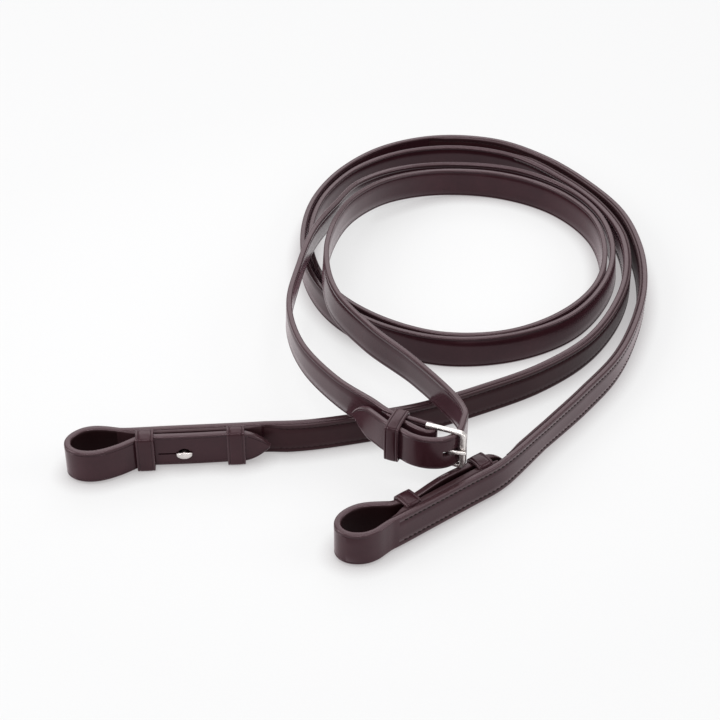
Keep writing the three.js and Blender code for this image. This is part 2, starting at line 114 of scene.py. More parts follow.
def tail_place(end, u):
    """How far the tail's middle line lies from the rein's, at a place u along the bit end."""
    swell = end["bow"] * math.sin(math.pi * min(max((u - 44) / 50, 0), 1)) ** 2
    drift = end["spread"] * smooth_step(u, 44, 90)
    return 7 + end["lift"] + swell + drift + 0.8 * smooth_step(u, 96, TAIL_TIP)


def billet_rows(end):
    """The tail and the bit loop, from the tail's point round to the throat."""
    loop = [
        (26, -0.3), (21.5, -1), (15, -1.7), (9.4, -0.7), (4.9, 2), (1.8, 5.6), (0.6, 9.8), (1.5, 13.9),
        (4.6, 17.3), (9.4, 19.4), (15, 19.8), (20.5, 18.7), (25.5, 16.5), (30, 13.9), (34.5, 11),
    ]
    neck = [(38, 8.9 + end["lift"]), (41.5, 7.6 + end["lift"])]
    tail = [(u, tail_place(end, u)) for u in (46, 52, 61, 70, 79, 87, 94, 103, TAIL_TIP)]
    swayed = [(u, v + end["sway"] * smooth_step(34 - u, 0, 14)) for u, v in loop]
    return [(*end_place(end, u, v), END_RISE, 0) for u, v in reversed(swayed + neck + tail)]


def straight_rows(end):
    spots = [(THROAT, 0), (56, 0), (82, 0), (99, 0), (110, end["turn"])]
    return [(*end_place(end, u, v), END_RISE, 0) for u, v in spots]


def buckle_rows(spots):
    return [(*buckle_place(a, b), BUCKLE_RISE - drop, 0) for a, b, drop in spots]


# Each row is x, y, the height of the lower edge, and the lean to the right of travel in degrees.
RIGHT_COIL = [
    (95.5, -115.5, 0.4, 6), (120.5, -83.5, 0, 2), (143, -50.9, 0, 3), (159, -12.9, 0, 3), (169, 27.1, 0, 1),
    (171, 68.1, 0, 0), (164, 109.1, 0, 0), (145, 146.1, 0, 0), (119.5, 178.6, 0, -1), (87, 201.6, 0, -1),
    (46, 207.1, 0, -3), (8, 193.1, 0, -1), (-21, 164.1, 0, -1), (-39.5, 126.6, 0, 0), (-46.5, 86.1, 0, 0),
    (-43, 45.1, 0, 1), (-26, 7.1, 0, 1), (4, -20.9, 0, -1), (42, -34.9, 0, -4), (83, -30.9, 0, -3),
    (119, -10.9, 0, -2), (143, 23.1, 0, -3), (154, 62.1, 0, -6), (150.5, 103.6, 0, -8),
    (132, 139.1, 0, -13), (99, 164.1, 0, -15), (58, 171.1, 0.5, -15), (19, 159.7, 4.3, -16),
    (-11, 131.2, 10.2, -15), (-27, 92.6, 16.6, -13), (-40, 53.2, 21.4, -8), (-48, 13.2, 21.4, -6),
    (-52, -28.8, 21.4, -2), (-43, -67.8, 21.4, 2), (-22, -103.3, 22.5, 2),
]
LEFT_COIL = [
    (-40, -115, 1.1, 3), (-8, -107.3, 0.4, 4), (24, -97.9, 0, 5), (61, -80.9, 0, 4), (96, -60.9, 0, 4),
    (126, -33.9, 0, 5), (147, 1.1, 0, 1), (159, 39.1, 0, -1), (161, 80.1, 0, -3), (150, 118.6, 0, -8),
    (129, 153.1, 0, -14), (100, 182.1, 0, -15), (62, 194.1, 0, -13), (22, 188.1, 0, -10),
    (-11, 166.1, 0, -7), (-32.5, 131.6, 0, -4), (-41.5, 93.1, 0, -3), (-39.5, 52.1, 0, -2),
    (-25, 15.1, 0, -1), (4, -13.9, 0, -1), (40, -29.9, 0, -1), (80, -27.9, 0, -3), (115, -7.9, 0, -5),
    (139, 24.1, 0, -3), (148, 64.1, 0, 0), (143, 103.1, 0, 3), (120, 137.1, 0, 1), (85, 156.1, 0.3, 0),
    (45, 156.9, 2.1, -3), (11, 137.4, 8, -6), (-13, 104.8, 14.4, -5), (-26, 66.3, 19.8, -4),
    (-31, 26.2, 21.4, -4), (-25, -13.8, 21.4, -5), (-5, -49.8, 21.4, -3), (20, -80.8, 21.4, 3),
    (41, -114.3, 22.5, 3), (46, -127.5, 24.3, 2),
]
RIGHT_BUCKLE_END = [(-36, -10.9, 0.2), (-28.6, -6.95, 0)]
LEFT_BUCKLE_END = [(14.2, -19.5, 0.1), (15, -14.9, 0)]
WRAP = 3.4
CHAPE_SPOTS = (
    [(-25, -5.6, 0), (-20, -4.5, 0), (-9, -3.8, 0), (-3, -WRAP, 0), (0, -WRAP, 0)]
    + [(WRAP * math.cos(math.radians(d)), WRAP * math.sin(math.radians(d)), 0) for d in (-60, -30, 0, 30, 60)]
    + [(0, WRAP, 0), (-3, WRAP - 0.2, 0), (-9, 1.6, 0), (-16, -0.6, 0), (-21, -1.2, 0), (-25, -2.2, 0)]
)
CENTRE_BILLET_SPOTS = [
    (15.7, -10.5, 0), (16.1, -7, 0), (16.1, -3, 0), (14.3, 2, 0), (10.6, 6.1, 0), (4.8, 8.8, 0),
    (-1.2, 9.8, 0), (-7.2, 9.2, 0), (-12.3, 7.4, 0), (-17.7, 6, 0), (-22, 4.4, 0), (-26, 2.1, 0.3),
    (-30, -0.6, 0.8), (-35, -4, 1.6), (-41, -8, 2.7), (-48.5, -12.8, 4),
]


class StrapPath:
    """The middle line of a strap on edge, with the directions across it and up it at every place."""

    SPAN_STEPS = 36

    def __init__(self, rows, thick):
        leans = np.radians([row[3] for row in rows])
        rises = np.array([row[2] for row in rows], float)
        middles = rises + STRAP_WIDTH * np.cos(leans) / 2 + thick * np.abs(np.sin(leans)) / 2
        points = np.array([[row[0], row[1], middle] for row, middle in zip(rows, middles)])
        self.line = self._curve(points)
        gaps = np.linalg.norm(np.diff(self.line, axis=0), axis=1)
        self.travel = np.concatenate([[0], np.cumsum(gaps)])
        self.total = self.travel[-1]
        self.leans = np.interp(np.arange(len(self.line)) / self.SPAN_STEPS, np.arange(len(rows)), leans)
        self.marks = self.travel[:: self.SPAN_STEPS]

    def _curve(self, points):
        """A centripetal Catmull-Rom curve through the points."""
        first = 2 * points[0] - points[1]
        last = 2 * points[-1] - points[-2]
        padded = np.vstack([first, points, last])
        t = (np.arange(self.SPAN_STEPS) / self.SPAN_STEPS)[:, None]
        spans = []
        for p0, p1, p2, p3 in zip(padded, padded[1:], padded[2:], padded[3:]):
            d0, d1, d2 = (math.sqrt(np.linalg.norm(b - a)) for a, b in ((p0, p1), (p1, p2), (p2, p3)))
            m1 = ((p1 - p0) / d0 - (p2 - p0) / (d0 + d1) + (p2 - p1) / d1) * d1
            m2 = ((p2 - p1) / d1 - (p3 - p1) / (d1 + d2) + (p3 - p2) / d2) * d1
            square, cube = 3 * (p2 - p1) - 2 * m1 - m2, 2 * (p1 - p2) + m1 + m2
            spans.append(p1 + m1 * t + square * t**2 + cube * t**3)
        return np.vstack([*spans, points[-1:]])

    def at(self, travel):
        """The point there, and the unit directions along, across to the right, and up the strap."""
        reach = 0.4
        low, high = max(travel - reach, 0), min(travel + reach, self.total)
        place = self._interp(travel)
        along = self._interp(high) - self._interp(low)
        along /= np.linalg.norm(along)
        lean = np.interp(travel, self.travel, self.leans)
        right = np.cross(along, (0, 0, 1))
        right /= np.linalg.norm(right)
        up = np.cross(right, along)
        across = right * math.cos(lean) - up * math.sin(lean)
        return place, along, across, np.cross(along, across)

    def _interp(self, travel):
        return np.array([np.interp(travel, self.travel, self.line[:, axis]) for axis in range(3)])


# ----------------------------------------
# Mesh making
# ----------------------------------------

def smooth_shade(mesh, sharp):
    """Shades a mesh smooth, except at edges that turn by more than sharp degrees."""
    mesh.polygons.foreach_set("use_smooth", [True] * len(mesh.polygons))
    mesh.set_sharp_from_angle(angle=math.radians(sharp))


def add_object(name, vertices, faces, layers=None, sharp=50):
    """A smooth-shaded mesh object from millimetre vertices, with float layers on its vertices."""
    mesh = bpy.data.meshes.new(name)
    mesh.from_pydata([tuple(MM * value for value in vertex) for vertex in vertices], [], faces)
    for layer_name, values in (layers or {}).items():
        mesh.attributes.new(layer_name, "FLOAT", "POINT").data.foreach_set("value", values)
    mesh.validate()
    outward = bmesh.new()
    outward.from_mesh(mesh)
    bmesh.ops.recalc_face_normals(outward, faces=outward.faces)
    outward.to_mesh(mesh)
    outward.free()
    smooth_shade(mesh, sharp)
    piece = bpy.data.objects.new(name, mesh)
    bpy.context.scene.collection.objects.link(piece)
    return piece


def strap_section(half_thick, half_width, right_marks, left_marks, radius=0.95):
    """The outline of a strap's section as (across, up, edge, crease) points, anticlockwise.

    A mark is a line pressed along both edges of a face: its distance in, half width, depth and darkness.
    """
    radius = min(radius, 0.9 * half_thick, 0.9 * half_width)

    def face(side, marks):
        flat = half_width - radius
        lower = [(-flat, 0.0, 0)]
        shrink = min(1.0, flat / 4.5)
        for distance, half_mark, depth, shade in marks:
            middle = -flat + (distance - 0.95) * shrink
            spread = half_mark * shrink
            lower += [
                (middle - spread, 0, 0), (middle - 0.3 * spread, depth, shade),
                (middle + 0.3 * spread, depth, shade), (middle + spread, 0, 0),
            ]
        lower += [(-0.4 * flat, 0.0, 0), (0.0, 0.0, 0)]
        upper = [(-y, depth, mark) for y, depth, mark in reversed(lower[:-1])]
        rows = lower + upper
        edge_at = (0, len(rows) - 1)
        return [
            (side * (half_thick - depth), side * y, 0.5 if i in edge_at else 0.0, mark if depth > 0 else 0.0)
            for i, (y, depth, mark) in enumerate(rows)
        ]

    def end(side):
        points = []
        for corner in (side, -side):
            angles = (25, 50, 75, 90) if corner == side else (90, 75, 50, 25)
            for degrees in angles:
                angle = math.radians(degrees)
                x = corner * (half_thick - radius + radius * math.cos(angle))
                y = side * (half_width - radius + radius * math.sin(angle))
                points.append((x, y, 1.0, 0.0))
        return points

    return face(1, right_marks) + end(1) + face(-1, left_marks) + end(-1)


def ring_faces(rings, count, start=0):
    """The quads between rings of count points, which follow each other from vertex start on."""
    faces = []
    for ring in range(rings - 1):
        for k in range(count):
            a, b = start + ring * count + k, start + ring * count + (k + 1) % count
            faces.append((a, b, b + count, a + count))
    return faces


def sweep(name, stations, sections):
    """A closed skin over one section per station. A station is a (point, along, across, up)."""
    vertices, edges, creases = [], [], []
    count = len(sections[0])
    for (point, _, across, up), section in zip(stations, sections):
        for x, y, edge, crease in section:
            vertices.append(point + across * x + up * y)
            edges.append(edge)
            creases.append(crease)
    faces = ring_faces(len(stations), count)
    for ring, turned in ((0, True), (len(stations) - 1, False)):
        centre = len(vertices)
        vertices.append(stations[ring][0])
        edges.append(1.0)
        creases.append(0.0)
        for k in range(count):
            a, b = ring * count + k, ring * count + (k + 1) % count
            faces.append((centre, b, a) if turned else (centre, a, b))
    return add_object(name, vertices, faces, {"edge": edges, "crease": creases})


def cut_with(piece, cutters):
    """Cuts other meshes out of a piece for good, and removes them."""
    for cutter in cutters:
        modifier = piece.modifiers.new("cut", "BOOLEAN")
        modifier.operation = "DIFFERENCE"
        modifier.solver = "EXACT"
        modifier.object = cutter
    bpy.context.view_layer.update()
    graph = bpy.context.evaluated_depsgraph_get()
    cut = bpy.data.meshes.new_from_object(piece.evaluated_get(graph))
    old = piece.data
    piece.modifiers.clear()
    piece.data = cut
    cut.name = old.name + "_cut"
    bpy.data.meshes.remove(old)
    for cutter in cutters:
        bpy.data.objects.remove(cutter)
    smooth_shade(cut, 38)
    return piece


def prism(outline, low, high, place):
    """A straight block: an outline in the (x, z) plane, from low to high along y, set in place."""
    count = len(outline)
    rows = [(x, y, z) for y in (low, high) for x, z in outline]
    vertices = [tuple(place @ Vector(row)) for row in rows]
    faces = ring_faces(2, count)
    faces += [tuple(reversed(range(count))), tuple(range(count, 2 * count))]
    return add_object("cutter", vertices, faces)


def oval(centre_x, centre_z, radius_x, radius_z, count=36):
    turns = [2 * math.pi * k / count for k in range(count)]
    return [(centre_x + radius_x * math.cos(turn), centre_z + radius_z * math.sin(turn)) for turn in turns]


def spans(low, high, step):
    count = max(2, round((high - low) / step) + 1)
    return [low + (high - low) * k / (count - 1) for k in range(count)]


def attach(piece, body, slot, material, *nodes):
    piece.data.materials.clear()
    piece.data.materials.append(material)
    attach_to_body(piece, body)
    if nodes:
        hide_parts(*nodes)
    return piece


# ----------------------------------------
# Materials
# ----------------------------------------

def new_material(name):
    material = bpy.data.materials.new(name)
    material.use_nodes = True
    nodes, links = material.node_tree.nodes, material.node_tree.links
    return material, nodes, links, nodes["Principled BSDF"]


def texture(nodes, links, kind, coordinates, **values):
    node = nodes.new(kind)
    for key, value in values.items():
        if key in node.inputs:
            node.inputs[key].default_value = value
        else:
            setattr(node, key, value)
    links.new(coordinates, node.inputs["Vector"])
    return node


def math_node(nodes, links, operation, first, second):
    node = nodes.new("ShaderNodeMath")
    node.operation = operation
    for socket, value in zip(node.inputs, (first, second)):
        if isinstance(value, (int, float)):
            socket.default_value = value
        else:
            links.new(value, socket)
    return node.outputs[0]


def mix_colour(nodes, links, factor, first, second, blend="MIX"):
    node = nodes.new("ShaderNodeMix")
    node.data_type = "RGBA"
    node.blend_type = blend
    sockets = [socket for socket in node.inputs if socket.type == "RGBA"]
    for socket, value in ((node.inputs[0], factor), (sockets[0], first), (sockets[1], second)):
        if isinstance(value, (int, float, tuple)):
            socket.default_value = value
        else:
            links.new(value, socket)
    return next(socket for socket in node.outputs if socket.type == "RGBA")


def map_range(nodes, links, value, low, high, to_low, to_high):
    node = nodes.new("ShaderNodeMapRange")
    links.new(value, node.inputs["Value"])
    for key, number in zip(("From Min", "From Max", "To Min", "To Max"), (low, high, to_low, to_high)):
        node.inputs[key].default_value = number
    return node.outputs["Result"]


def attribute(nodes, name):
    node = nodes.new("ShaderNodeAttribute")
    node.attribute_name = name
    return node.outputs["Fac"]


def add_bump(nodes, links, shader, height, strength, distance):
    bump = nodes.new("ShaderNodeBump")
    bump.inputs["Strength"].default_value = strength
    bump.inputs["Distance"].default_value = distance
    links.new(height, bump.inputs["Height"])
    links.new(bump.outputs["Normal"], shader.inputs["Normal"])


def leather(name, face, deep, edge, rough, grain=1.0, gloss=0.33, sheen=0.12):
    """Bridle leather: waxed faces with fine grain and pores, drawn-up edges, and darker pressed lines."""
    material, nodes, links, shader = new_material(name)
    coordinates = nodes.new("ShaderNodeTexCoord").outputs["Object"]
    cloud = texture(nodes, links, "ShaderNodeTexNoise", coordinates, Scale=38, Detail=4, Roughness=0.6)
    mottle = texture(nodes, links, "ShaderNodeTexNoise", coordinates, Scale=260, Detail=3, Roughness=0.55)
    pores = texture(nodes, links, "ShaderNodeTexVoronoi", coordinates, Scale=1500, Randomness=1.0)
    wrinkle = texture(nodes, links, "ShaderNodeTexNoise", coordinates, Scale=900, Detail=5, Roughness=0.62)
    edge_mask, crease_mask = attribute(nodes, "edge"), attribute(nodes, "crease")
    clouded = map_range(nodes, links, cloud.outputs["Fac"], 0.3, 0.7, 0, 1)
    mottled = map_range(nodes, links, mottle.outputs["Fac"], 0.35, 0.75, 0, 0.35)
    colour = mix_colour(nodes, links, clouded, face, deep)
    colour = mix_colour(nodes, links, mottled, colour, deep)
    colour = mix_colour(nodes, links, math_node(nodes, links, "MULTIPLY", edge_mask, 0.85), colour, edge)
    dark = tuple(0.35 * value for value in deep[:3]) + (1.0,)
    colour = mix_colour(nodes, links, math_node(nodes, links, "MULTIPLY", crease_mask, 0.75), colour, dark)
    links.new(colour, shader.inputs["Base Color"])
    roughness = map_range(nodes, links, wrinkle.outputs["Fac"], 0.3, 0.7, rough - 0.07, rough + 0.07)
    dulled = math_node(nodes, links, "MULTIPLY", crease_mask, 0.15)
    links.new(math_node(nodes, links, "ADD", roughness, dulled), shader.inputs["Roughness"])
    shine = map_range(nodes, links, edge_mask, 0, 1, gloss, gloss + 0.2)
    links.new(shine, shader.inputs["Specular IOR Level"])
    shader.inputs["Specular Tint"].default_value = (1.0, 0.78, 0.85, 1.0)
    shader.inputs["Sheen Weight"].default_value = sheen
    shader.inputs["Sheen Roughness"].default_value = 0.45
    shader.inputs["Sheen Tint"].default_value = (1.0, 0.55, 0.68, 1.0)
    height = math_node(
        nodes, links, "ADD",
        math_node(nodes, links, "MULTIPLY", wrinkle.outputs["Fac"], 0.6),
        math_node(nodes, links, "MULTIPLY", pores.outputs["Distance"], 0.4),
    )
    add_bump(nodes, links, shader, height, 0.14 * grain, 0.00018)
    return material


def plated_metal():
    material, nodes, links, shader = new_material("plated_metal")
    coordinates = nodes.new("ShaderNodeTexCoord").outputs["Object"]
    haze = texture(nodes, links, "ShaderNodeTexNoise", coordinates, Scale=420, Detail=4, Roughness=0.6)
    shader.inputs["Metallic"].default_value = 1.0
    tone = map_range(nodes, links, haze.outputs["Fac"], 0.3, 0.7, 0, 1)
    colour = mix_colour(nodes, links, tone, (0.64, 0.60, 0.585, 1), (0.75, 0.71, 0.69, 1))
    links.new(colour, shader.inputs["Base Color"])
    links.new(map_range(nodes, links, haze.outputs["Fac"], 0.3, 0.7, 0.23, 0.35), shader.inputs["Roughness"])
    add_bump(nodes, links, shader, haze.outputs["Fac"], 0.06, 0.0001)
    return material


def thread_material(name, dark, light):
    material, nodes, links, shader = new_material(name)
    coordinates = nodes.new("ShaderNodeTexCoord").outputs["Object"]
    fibre = texture(nodes, links, "ShaderNodeTexNoise", coordinates, Scale=2600, Detail=2, Roughness=0.5)
    tone = map_range(nodes, links, fibre.outputs["Fac"], 0.3, 0.7, 0, 1)
    links.new(mix_colour(nodes, links, tone, dark, light), shader.inputs["Base Color"])
    shader.inputs["Roughness"].default_value = 0.6
    shader.inputs["Specular IOR Level"].default_value = 0.15
    return material


# The floor is a white table with painted light: part of its brightness is a glow of its own, which keeps
# the shadows pale. The glow is a little stronger round the middle, a painted pool of light, and a painted
# contact shadow darkens it and tints it pink in the narrow gaps where something rests on it.
FLOOR_GLOW = 0.582
CENTRE_GLOW = 0.045
CENTRE_REACH = (0.04, 0.30)
CONTACT_REACH = 0.011
CONTACT_SHADE = 0.64


def floor_material():
    material, nodes, links, shader = new_material("studio_floor")
    coordinates = nodes.new("ShaderNodeTexCoord").outputs["Object"]
    tooth = texture(nodes, links, "ShaderNodeTexNoise", coordinates, Scale=900, Detail=2, Roughness=0.5)
    tone = map_range(nodes, links, tooth.outputs["Fac"], 0.3, 0.7, 0, 1)
    white = mix_colour(nodes, links, tone, (0.238, 0.238, 0.240, 1), (0.246, 0.246, 0.248, 1))
    # Painted contact shadow: near resting parts, occlusion darkens the floor's colour and glow and tints them
    # pink.
    contact = nodes.new("ShaderNodeAmbientOcclusion")
    contact.samples = 6
    contact.inputs["Distance"].default_value = CONTACT_REACH
    shade = map_range(nodes, links, contact.outputs["AO"], 0.35, 0.97, CONTACT_SHADE, 1.0)
    painted_shadow_tint = mix_colour(nodes, links, shade, (1.0, 0.90, 0.92, 1), (1.0, 1.0, 1.0, 1))
    shadow_tinted_white = mix_colour(nodes, links, 1.0, white, painted_shadow_tint, blend="MULTIPLY")
    links.new(mix_colour(nodes, links, 1.0, shadow_tinted_white, shade, blend="MULTIPLY"), shader.inputs["Base Color"])
    # Painted light: the floor glows though it is no lamp, more strongly round the middle as a painted pool of
    # light.
    links.new(painted_shadow_tint, shader.inputs["Emission Color"])
    distance = nodes.new("ShaderNodeVectorMath")
    distance.operation = "LENGTH"
    links.new(coordinates, distance.inputs[0])
    glow = map_range(
        nodes, links, distance.outputs["Value"], *CENTRE_REACH, FLOOR_GLOW + CENTRE_GLOW, FLOOR_GLOW
    )
    links.new(math_node(nodes, links, "MULTIPLY", shade, glow), shader.inputs["Emission Strength"])
    shader.inputs["Roughness"].default_value = 0.75
    shader.inputs["Specular IOR Level"].default_value = 0.1
    return material


STRAP_LEATHER = leather(
    "bridle_leather",
    face=(0.030, 0.0085, 0.0115, 1), deep=(0.017, 0.0046, 0.0064, 1), edge=(0.031, 0.0145, 0.0165, 1),
    rough=0.2,
)
LINING_LEATHER = leather(
    "lining_leather",
    face=(0.030, 0.0105, 0.0125, 1), deep=(0.019, 0.0060, 0.0075, 1), edge=(0.032, 0.0155, 0.0175, 1),
    rough=0.36, grain=0.8, gloss=0.16, sheen=0.04,
)
# The flesh side is rough like real flesh leather, and its dark colour is painted shade for the inside of the
# bit loop.
FLESH_AND_SHADE_LEATHER = leather(
    "flesh_leather_and_painted_shade",
    face=(0.013, 0.0031, 0.0036, 1), deep=(0.008, 0.0020, 0.0023, 1), edge=(0.030, 0.014, 0.015, 1),
    rough=0.62, grain=2.2, gloss=0.08, sheen=0.0,
)
METAL = plated_metal()
THREAD = thread_material("waxed_thread", (0.006, 0.003, 0.003, 1), (0.014, 0.008, 0.007, 1))
LINING_THREAD = thread_material("lining_thread", (0.013, 0.0050, 0.0058, 1), (0.024, 0.0095, 0.0110, 1))

# ----------------------------------------
# The two straps: tail, bit loop, rein and buckle end lie on one line each
# ----------------------------------------

# The grain face of each strap: 1 is its right side in the direction from the bit to the buckle.
GRAIN = {"left": -1, "right": 1}


def full_path(side):
    """A whole strap's middle line, with the travel at its throat and where its buckle end begins."""
    end = BIT_ENDS[side]
    if side == "right":
        buckle_end = RIGHT_BUCKLE_END + CHAPE_SPOTS
        coil = RIGHT_COIL
    else:
        buckle_end = LEFT_BUCKLE_END + CENTRE_BILLET_SPOTS
        coil = LEFT_COIL
    head, straight = billet_rows(end), straight_rows(end)
    path = StrapPath(head + straight + coil + buckle_rows(buckle_end), STRAP_THICK)
    path.throat = path.marks[len(head)]
    path.buckle = path.marks[len(head) + len(straight) + len(coil) + 1] + 0.5
    return path


PATHS = {side: full_path(side) for side in ("left", "right")}


def tip_half_width(distance, length=17.0, blunt=0.7):
    """Half the width of a pointed strap end at a distance from its tip."""
    if distance >= length:
        return STRAP_WIDTH / 2
    t = max(distance, 0) / length
    return blunt + (STRAP_WIDTH / 2 - blunt) * (1 - (1 - t) ** 1.9) ** 0.9


def face_marks(side, front, back):
    """Marks for the right and left faces, given those for the grain face and the flesh face."""
    return (front, back) if GRAIN[side] > 0 else (back, front)


def strap_piece(name, path, side, low, high, step, thick, front, back, tip=None):
    """A length of strap. thick, front and back give its thickness and its pressed lines at a travel."""
    travels = spans(low, high, step)
    if tip is not None:
        near = [offset for offset in (0.15, 0.4, 0.9, 1.6, 2.5, 3.6) if offset < step * 4]
        if tip == "start":
            travels = sorted(set(travels) | {low + offset for offset in near})
        else:
            travels = sorted(set(travels) | {high - offset for offset in near})
    stations, sections = [], []
    for travel in travels:
        stations.append(path.at(travel))
        half_width, half_thick = STRAP_WIDTH / 2, thick(travel) / 2
        if tip is not None:
            distance = travel - low if tip == "start" else high - travel
            half_width = tip_half_width(distance)
            half_thick *= 0.72 + 0.28 * smooth_step(distance, 0, 12)
        right, left = face_marks(side, front(travel), back(travel))
        sections.append(strap_section(half_thick, half_width, right, left))
    return sweep(name, stations, sections)


# How deep each stitch is bedded in the leather.
STITCH_SINK = 0.16


def stitch_row(rows, path, low, high, face, up, thick, pitch=3.1, lift=0.0):
    """Adds stitches along a path: face is the side they show on, up their height on the strap."""
    count = max(1, round((high - low) / pitch))
    for k in range(count):
        travel = low + (k + 0.5) * (high - low) / count
        point, along, across, upward = path.at(travel)
        outward = across * face
        place = point + outward * (thick(travel) / 2 - STITCH_SINK + lift) + upward * up
        rows.append((place, along, outward, upward))


def stitches(name, rows, length=2.35, width=0.8, height=0.4, slant=14):
    """Short slanted threads, each a flattened bead bedded in the leather."""
    randomiser = random.Random(name)
    vertices, faces = [], []
    # Where each ring lies along the half length, and its share of the width.
    rings = ((-0.82, 0.62), (-0.35, 0.96), (0.35, 0.96), (0.82, 0.62))
    around = 8
    for point, along, outward, upward in rows:
        angle = math.radians(slant + randomiser.uniform(-3, 3))
        line = along * math.cos(angle) + upward * math.sin(angle)
        side = np.cross(outward, line)
        start = len(vertices)
        for along_share, wide in rings:
            for k in range(around):
                turn = 2 * math.pi * k / around
                vertices.append(
                    point + line * along_share * length / 2 + side * wide * width / 2 * math.cos(turn)
                    + outward * wide * height * math.sin(turn)
                )
        tail, head = len(vertices), len(vertices) + 1
        vertices += [point - line * length / 2, point + line * length / 2]
        for ring in range(len(rings) - 1):
            for k in range(around):
                a, b = start + ring * around + k, start + ring * around + (k + 1) % around
                faces.append((a, a + around, b + around, b))
        last = start + (len(rings) - 1) * around
        for k in range(around):
            faces.append((tail, start + k, start + (k + 1) % around))
            faces.append((head, last + (k + 1) % around, last + k))
    return add_object(name, vertices, faces, sharp=80)


# Pressed lines: the distance in from the edge, half width, depth and darkness of each.
PLAIN_LINE = (1.6, 0.42, 0.26, 0.9)
SOFT_LINE = (2.5, 0.45, 0.12, 0.4)
STITCH_LINE = (3.2, 0.6, 0.26, 0.25)


def flat_line(line):
    """The same line without its depth, which keeps a section's points in step."""
    return (line[0], line[1], 0.0, line[3])


def build_rein(side):
    """One rein from the throat to the buckle, with its lining, stitches, bit billet and stay."""
    path = PATHS[side]
    grip_from = path.throat + GRIP_START - THROAT
    grip_to = grip_from + GRIP_LENGTH

    def rein_front(travel):
        return [STITCH_LINE if travel < grip_to else PLAIN_LINE]

    def rein_back(travel):
        return [SOFT_LINE if travel > grip_to + 15 else flat_line(SOFT_LINE)]

    def rein_thick(travel):
        return STRAP_THICK

    rein = strap_piece(
        side + "_rein", path, side, path.throat, path.buckle, 2.0, rein_thick, rein_front, rein_back
    )
    attach(rein, "reins", "bridle_leather", STRAP_LEATHER, "rein_strap_" + side)
    line = [path.at(travel)[0] * MM for travel in spans(path.throat, path.buckle, 6.0)]

    # The lining lies on the flesh face and is skived to nothing at the splice.
    back = -GRAIN[side]

    def lining_thick(travel):
        return LINING_THICK * (0.12 + 0.88 * smooth_step(min(travel - grip_from, grip_to - travel), 0, 14))

    stations, sections = [], []
    for travel in spans(grip_from, grip_to, 2.0):
        point, along, across, up = path.at(travel)
        half = lining_thick(travel) / 2
        stations.append((point + across * back * (STRAP_THICK / 2 + half), along, across, up))
        outer = [(STITCH_LINE[0] - 0.25, *STITCH_LINE[1:])]
        right, left = (outer, [flat_line(outer[0])]) if back > 0 else ([flat_line(outer[0])], outer)
        sections.append(strap_section(half, STRAP_WIDTH / 2 - 0.25, right, left, radius=0.6))
    lining = sweep(side + "_grip_lining", stations, sections)
    attach(lining, "reins", "lining_leather", LINING_LEATHER, "grip_lining_" + side)

    def sewn_thick(travel):
        return STRAP_THICK + 2 * lining_thick(travel)

    front_rows, back_rows = [], []
    stitch_up = STRAP_WIDTH / 2 - STITCH_LINE[0]
    for up in (stitch_up, -stitch_up):
        stitch_row(front_rows, path, path.throat + 3, grip_to - 2, GRAIN[side], up, rein_thick)
        stitch_row(back_rows, path, grip_from + 8, grip_to - 4, back, up, sewn_thick, lift=-0.08)
    attach(stitches(side + "_grip_stitching", front_rows), "reins", "bridle_leather", THREAD)
    attach(stitches(side + "_lining_stitching", back_rows), "reins", "lining_leather", LINING_THREAD)

    build_billet(side, path)
    build_stay(side)


def local_place(end):
    """From a bit end's own axes, along it and across it from the middle of the strap, to the part's."""
    middle = Matrix.Translation((end["x"], end["y"], END_RISE + STRAP_WIDTH / 2))
    return middle @ Matrix.Rotation(end["heading"], 4, "Z")


def build_billet(side, path):
    end = BIT_ENDS[side]
    place = local_place(end)

    def billet_thick(travel):
        blend = smooth_step(travel, path.throat - 14, path.throat)
        return BILLET_THICK + (STRAP_THICK - BILLET_THICK) * blend

    def billet_front(travel):
        fade = 1 - smooth_step(travel, path.throat - 34, path.throat - 20)
        return [(*PLAIN_LINE[:2], PLAIN_LINE[2] * fade, PLAIN_LINE[3])]

    def billet_back(travel):
        return [flat_line(SOFT_LINE)]

    billet = strap_piece(
        side + "_bit_billet", path, side, 0.0, path.throat, 0.9,
        billet_thick, billet_front, billet_back, tip="start",
    )
    face = end["side"] * tail_place(end, STUD_PLACE)
    keyhole = [spot for spot in oval(STUD_PLACE, STUD_LIFT, 3.7, 3.3, 40) if spot[0] > STUD_PLACE - 3.65]
    half = (len(keyhole) + 1) // 2
    slit_start, slit_end = STUD_PLACE - 3.6, STUD_PLACE - 14.5
    slit_top, slit_bottom = STUD_LIFT + 0.5, STUD_LIFT - 0.5
    slit = [(slit_start, slit_top), (slit_end, slit_top), (slit_end, slit_bottom), (slit_start, slit_bottom)]
    keyhole = keyhole[:half] + slit + keyhole[half:]
    cut_with(billet, [prism(keyhole, face - 4.2, face + 4.2, place)])
    attach(billet, "reins", "bridle_leather", STRAP_LEATHER, "bit_billet_" + side)
    line_with_flesh_and_shade(billet, path, -GRAIN[side], path.throat + 2)


def line_with_flesh_and_shade(piece, path, side, up_to):
    """Gives the faces that look to one side of the path the rough flesh leather.

    Its dark colour is partly painted shade, for the hollow inside the bit loop.
    """
    piece.data.materials.append(FLESH_AND_SHADE_LEATHER)
    frames = [path.at(travel) for travel in spans(0.0, up_to, 1.0)]
    middles = np.array([frame[0] for frame in frames])
    for face in piece.data.polygons:
        centre = np.array(face.center) / MM
        nearest = int(np.argmin(np.sum((middles - centre) ** 2, axis=1)))
        across = frames[nearest][2] * side
        if np.dot(np.array(face.normal), across) > 0.8:
            face.material_index = 1


